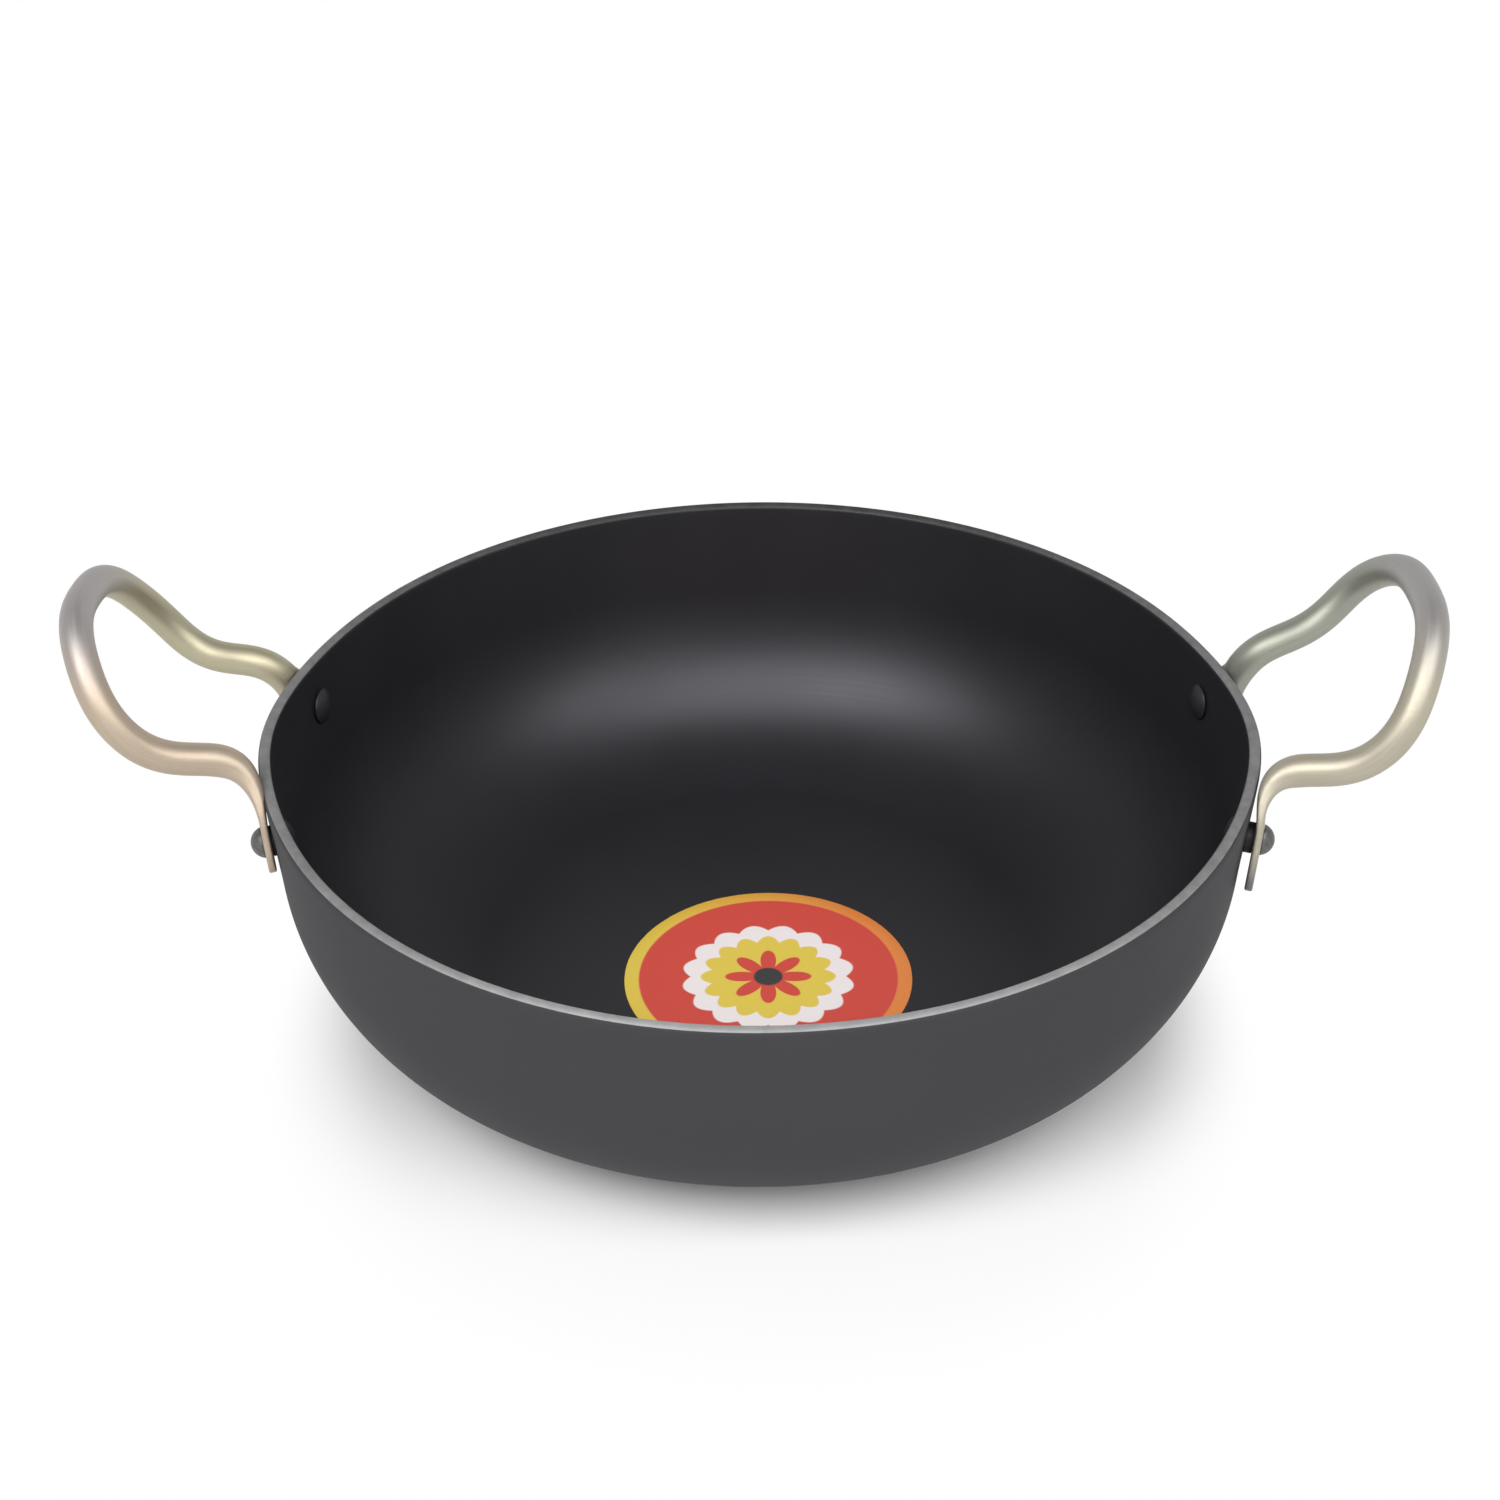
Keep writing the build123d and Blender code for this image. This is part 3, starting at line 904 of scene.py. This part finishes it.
# From the wall to the middle line: at the neck, and at the corner of the first bend over the rim
neck_stand_off = {(-1, -1): 0.0014, (-1, 1): 0.0036, (1, -1): 0.0012, (1, 1): 0.0042}
bend_stand_off = {(-1, -1): 0.0042, (-1, 1): 0.0046, (1, -1): 0.0056, (1, 1): 0.0054}
seat_gap, tab_thickness = 0.0001, 0.002
spacer_thickness = {-1: 0.0008, 1: 0.0022}
tab_width, tab_splay = 0.013, radians(23)
tab_rise, flatten_run, bend_rise, bend_radius = 0.0045, 0.007, 0.0222, 0.008
tab_tails = {-1: 0.0076, 1: 0.013}
handle_reach, handle_rise, handle_spread = {-1: 0.0414, 1: 0.0393}, 0.0385, 0.066
reach_shares, spread_shares = (0.54, 0.8, 1.0), (0.96, 1.0, 0.55)
rise_shares = {
    (-1, -1): (0.28, 0.62, 1.09),
    (-1, 1): (0.06, 0.42, 0.94),
    (1, -1): (0.155, 0.48, 1.02),
    (1, 1): (0.26, 0.65, 0.93),
}
bend_shares = {(-1, -1): 0.98, (-1, 1): 0.86, (1, -1): 0.82, (1, 1): 0.98}
corner_share, bend_share, tip_share = 0.45, 0.9, 0.42
soft = 0.014  # radius of the slight corners where the flat end meets the neck


def tab_point(side, end, rise, stand_off):
    """A point on the middle line of a flattened end, up from its rivet and out from the wall."""
    place, along, up, outward = rivet_seat(side, end)
    splayed = Quaternion(outward, end * side * tab_splay) @ up
    return place + splayed * rise + outward * stand_off


def leg_route(side, end):
    """The corners of one leg, from the tip of its flattened end to its crown."""
    tab_stand_off = seat_gap + spacer_thickness[side] + tab_thickness / 2
    points = [
        tab_point(side, end, -tab_tails[side], tab_stand_off),
        tab_point(side, end, tab_rise, tab_stand_off),
        tab_point(side, end, tab_rise + flatten_run, neck_stand_off[side, end]),
        tab_point(side, end, bend_rise * bend_shares[side, end], bend_stand_off[side, end]),
    ]
    for reach_share, spread_share, rise_share in zip(reach_shares, spread_shares, rise_shares[side, end]):
        out = rim_radius + handle_reach[side] * reach_share
        aside = handle_spread / 2 * spread_share
        points.append(Vector((out * side, aside * end, bowl_height + handle_rise * rise_share)))
    return points


def corner_radius(points, place, share):
    """The radius of a round corner that takes up a share of the shorter of its two runs."""
    first, second = points[place] - points[place - 1], points[place + 1] - points[place]
    return min(first.length, second.length) * share / tan(first.angle(second) / 2)


def handle_line(name, side):
    """The route of a whole handle, each corner with its radius."""
    front, back = leg_route(side, -1), leg_route(side, 1)
    points = front + back[::-1]
    first_bend, last_bend = 3, len(points) - 4
    bends = [min(bend_radius, corner_radius(points, place, bend_share)) for place in (first_bend, last_bend)]
    loop = [corner_radius(points, place, corner_share) for place in range(first_bend + 1, last_bend)]
    radii = [0, soft, soft, bends[0], *loop, bends[1], soft, soft, 0]
    return line_of_points(name, points, radii)


# %% Bend the handles
flat_above = 0.0045  # above the rivet
front_neck, back_neck = {-1: 0.0225, 1: 0.0185}, 0.011  # from there to round
for side, side_name in ((-1, "left"), (1, "right")):
    handle = grow(
        "rod_handle_" + side_name,
        handle_line("route_" + side_name, side),
        rod_tree,
        {
            "Radius": rod_radius,
            "Flat Length": tab_tails[side] + flat_above,
            "Front Neck": front_neck[side],
            "Back Neck": back_neck,
            "Flat Width": tab_width,
            "Flat Thickness": tab_thickness,
            "Tip Radius": tab_width * tip_share,
            "Front Outward": rivet_seat(side, -1)[3],
            "Back Outward": rivet_seat(side, 1)[3],
            "Finish": plate_finish,
        },
    )
    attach(handle, "root")
    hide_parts("handle_" + side_name)

# %% [markdown]
# ## Rivets and washers
# The rivets are dull aluminium. Their outer heads are domed by a snap tool and their inner
# ones are low and as dark as the bowl, and both have small dents. The dark share of a rivet
# comes from how far along its outline a point lies, since that starts at the inner crown.
# Black washers hold the handles off the wall.


# %% Rivet and washer finishes
rivet_finish, tree, shader = new_material("dull_rivet", Metallic=0.7)
rivet_place = object_place(tree)
dents, rivet_grain = grained(rivet_place, 0.0012, 1.5), grained(rivet_place, 0.0003, 1.5)
outer_share = remap(stored(tree, "turned_length"), 0.0055, 0.0075)  # under the inner head
dull = blend_colours(dents, (0.08, 0.08, 0.08, 1), (0.19, 0.186, 0.182, 1))
rivet_tone = blend_colours(outer_share, (0.042, 0.042, 0.052, 1), dull)
dented = bump(rivet_grain, 0.4, 0.00002, bump(dents, 0.5, 0.00008))
paint_with(shader, rivet_tone, from_noise(rivet_grain, 0.4, 0.58), dented)

washer_finish, tree, shader = new_material("black_washer")
washer_grain = grained(object_place(tree), 0.0005, 1.4)
washer_tone = blend_colours(washer_grain, (0.008, 0.008, 0.008, 1), (0.02, 0.019, 0.018, 1))
paint_with(shader, washer_tone, from_noise(washer_grain, 0.5, 0.65), bump(washer_grain, 0.4, 0.00002))
print(rivet_finish.name, washer_finish.name)

# %% Outlines of a rivet and a washer
shank_radius = 0.0024
inner_head, inner_rise = 0.0048, 0.0019
outer_head, outer_rise = 0.0039, 0.003
washer_radius, washer_ease = 0.0039, 0.0003


def dome_outline(radius, height, top, steps):
    """From the crown of a domed head down to its edge. A negative height is a head that faces down."""
    ball = (radius * radius + height * height) / (2 * abs(height))
    half_angle = asin(radius / ball)
    way = 1 if height > 0 else -1
    angles = [half_angle * step / steps for step in range(steps + 1)]
    return [Vector((ball * sin(a), 0, top - way * ball * (1 - cos(a)))) for a in angles]


def rivet_outline(washer_thickness):
    """A rivet from its inner crown, over its shank, to its outer crown."""
    inner_seat, head_seat = -wall - seat_gap, seat_gap + washer_thickness + tab_thickness
    inner_dome = dome_outline(inner_head, -inner_rise, inner_seat - inner_rise, steps=12)
    outer_dome = dome_outline(outer_head, outer_rise, head_seat + outer_rise, steps=14)
    shank = [Vector((shank_radius, 0, inner_seat)), Vector((shank_radius, 0, head_seat))]
    return inner_dome + shank + outer_dome[::-1]


def washer_outline(washer_thickness):
    """A washer's section, with its two outer edges rounded."""
    low, high = seat_gap, seat_gap + washer_thickness
    points = [Vector((shank_radius, 0, low))]
    points += rounded_edge(washer_radius, low, high, washer_ease, steps=4)
    return points + [Vector((shank_radius, 0, high)), Vector((shank_radius, 0, low))]


# %% Turn the rivets and washers
for side, side_name in ((-1, "left"), (1, "right")):
    rivet_points = rivet_outline(spacer_thickness[side])
    washer_points = washer_outline(spacer_thickness[side])
    for end, end_name in ((-1, "front"), (1, "back")):
        where = f"{side_name}_{end_name}"
        for kind, points, finish, node, slot in (
            ("turned_rivet_", rivet_points, rivet_finish, "rivet_", "rivet_metal"),
            ("turned_washer_", washer_points, washer_finish, "spacer_", "black_spacer"),
        ):
            outline = line_of_points(kind + where, points)
            piece = grow(kind + where, outline, turn_tree, {"Steps": 48, "Finish": finish})
            piece.data.transform(seat_matrix(side, end))
            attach(piece, "root")
            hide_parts(node + where)

# %% [markdown]
# ## The sticker
# A round, coated paper sticker lies on the floor of the bowl. Its print is rings and petals
# in yellow, orange, red and white, worked out from the distance and the angle to its middle
# by plain arithmetic, so it needs no picture. A Mapping node puts the middle of the pattern
# at the middle of the sticker.

# %% Sticker's print: distance and angle
label_radius = 0.038
label_right, label_front = 0.002, 0.0135
soft_edge = 0.006  # of the radius, over which one ink gives way to the next
print_finish, tree, shader = new_material("printed_label", Coat_Weight=0.35, Coat_Roughness=0.12)
label_place = object_place(tree)
centred_place = {"Vector": label_place, "Location": (-label_right, label_front, -label_low.z)}
apart = split(follow("ShaderNodeMapping", centred_place).outputs[0])
squares = calculate("ADD", *(calculate("POWER", apart[part], 2.0) for part in "XY"))
from_middle = calculate("DIVIDE", calculate("SQRT", squares), label_radius)
angle = calculate("ARCTAN2", apart["Y"], apart["X"])


def beyond(value, limit):
    """0 below a limit and 1 above it, with the soft edge of print."""
    if isinstance(limit, bpy.types.NodeSocket):
        limit_low, limit_high = (calculate("ADD", limit, d) for d in (-soft_edge, soft_edge))
    else:
        limit_low, limit_high = limit - soft_edge, limit + soft_edge
    return remap(value, limit_low, limit_high)


def petals(count, inner, outer, turned=0.0):
    """The edge of a flower: a radius that swings between two values so many times round."""
    swing = calculate("COSINE", calculate("MULTIPLY_ADD", angle, count / 2, turned))
    return calculate("MULTIPLY_ADD", calculate("ABSOLUTE", swing), outer - inner, inner)


print("sticker", 2 * label_radius, "m across")

# %% Sticker's print: rings and petals
yellow, orange, red = (0.68, 0.51, 0.055, 1), (0.69, 0.205, 0.035, 1), (0.57, 0.045, 0.027, 1)
white, ink = (0.8, 0.73, 0.73, 1), (0.02, 0.02, 0.022, 1)
ring_share = remap(apart["X"], -label_radius, label_radius * 0.6)
ring_tone = blend_colours(ring_share, yellow, orange)
flower = petals(8, 0.12, 0.3)
inner_petals, outer_petals = petals(16, 0.40, 0.47), petals(16, 0.54, 0.6, pi / 2)
print_colour = blend_colours(beyond(from_middle, flower), red, yellow)
print_colour = blend_colours(beyond(from_middle, 0.1), ink, print_colour)
for edge, around in ((inner_petals, white), (outer_petals, red), (0.9, ring_tone)):
    print_colour = blend_colours(beyond(from_middle, edge), print_colour, around)
paper = grained(label_place, 0.0008, 1.2)
paint_with(shader, print_colour, from_noise(paper, 0.32, 0.45), bump(paper, 0.3, 0.00002))
print(print_finish.name, len(tree.nodes), "nodes")

# %% Lay the sticker
label_thickness = label_high.z - label_low.z
paper_ease = label_thickness * 0.4
label_points = [Vector((0, 0, 0))]
label_points += between(label_points[-1], Vector((label_radius - paper_ease, 0, 0)), steps=3)
label_points += rounded_edge(label_radius, 0, label_thickness, paper_ease, steps=3)
label_points += between(label_points[-1], Vector((0, 0, label_thickness)), steps=12)
outline = line_of_points("label_outline", label_points)
label = grow("paper_label", outline, turn_tree, {"Steps": 128, "Finish": print_finish})
label.data.transform(Matrix.Translation((label_right, -label_front, label_low.z)))
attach(label, "root")
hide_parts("label")
